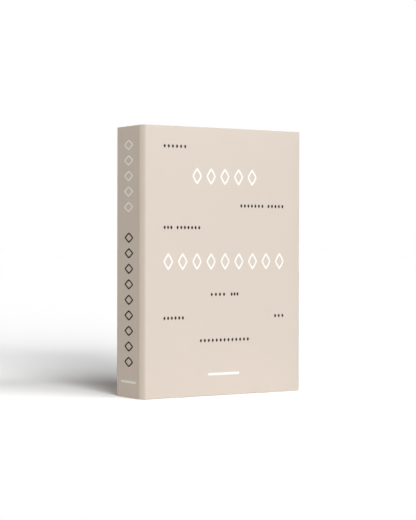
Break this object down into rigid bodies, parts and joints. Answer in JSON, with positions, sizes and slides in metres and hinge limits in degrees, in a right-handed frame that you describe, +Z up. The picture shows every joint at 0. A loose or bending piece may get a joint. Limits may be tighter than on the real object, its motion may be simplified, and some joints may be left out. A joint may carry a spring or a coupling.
{
  "type": "fire blanket in a book-shaped box",
  "caption": "Book-shaped rigid box with a hinged front cover, holding a folded glass-cloth fire blanket with webbing pull tabs.",
  "frame": {"origin": "centre of the box's footprint, on the plane it rests on", "axes": "+Z up along the height; the front cover faces -Y, the spine faces -X, the fore-edge faces +X"},
  "size_m": [0.1894, 0.051, 0.27],
  "materials": {
    "cover_paper": "matt uncoated-feel covering paper, warm beige",
    "greyboard": "raw dense greyboard",
    "hinge_cloth": "thin bookbinder's cloth",
    "tray_paper": "matt off-white lining paper",
    "kraft_paper": "gummed kraft paper",
    "glass_cloth": "plain-woven glass-fibre cloth, slightly glossy yarn",
    "webbing": "woven near-black webbing",
    "card": "smooth uncoated card",
    "magnet": "nickel-plated bar magnet"
  },
  "bodies": {
    "case": {"back_board": "greyboard", "spine_board": "greyboard", "case_wrap": "cover_paper", "hinge_cloth": "hinge_cloth", "tray_base": "greyboard", "tray_tail_wall": "greyboard", "tray_head_wall": "greyboard", "tray_spine_wall": "greyboard", "tray_fore_edge_wall": "greyboard", "fore_edge_rail": "greyboard", "tray_magnet_lower": "magnet", "tray_magnet_upper": "magnet", "corner_stay_tail_spine": "kraft_paper", "corner_stay_tail_fore_edge": "kraft_paper", "corner_stay_head_spine": "kraft_paper", "corner_stay_head_fore_edge": "kraft_paper", "tray_wrap": "tray_paper", "tray_lining": "tray_paper", "blanket": "glass_cloth", "pull_tab_left_sewn_end": "webbing", "pull_tab_right_sewn_end": "webbing"},
    "cover": {"front_board": "greyboard", "cover_magnet_lower": "magnet", "cover_magnet_upper": "magnet", "cover_wrap": "cover_paper", "cover_lining": "tray_paper", "instruction_card": "card"},
    "left_tab": {"pull_tab_left": "webbing"},
    "right_tab": {"pull_tab_right": "webbing"}
  },
  "joints": [
    {"name": "cover_hinge", "type": "hinge", "parent": "case", "child": "cover", "pos_m": [-0.09329, -0.02339, 0.135], "axis": [0, 0, -1], "range_deg": [0, 175], "stiffness_Nm_per_rad": 0.05},
    {"name": "left_tab_fold", "type": "hinge", "parent": "case", "child": "left_tab", "pos_m": [-0.044, -0.0184, 0.2], "axis": [-1, 0, 0], "range_deg": [0, 45]},
    {"name": "right_tab_fold", "type": "hinge", "parent": "case", "child": "right_tab", "pos_m": [0.038, -0.0184, 0.2], "axis": [-1, 0, 0], "range_deg": [0, 45]}
  ],
  "couplings": [
    {"joint": "left_tab_fold", "follows": "cover_hinge", "ratio": 0.25},
    {"joint": "right_tab_fold", "follows": "cover_hinge", "ratio": 0.25}
  ]
}
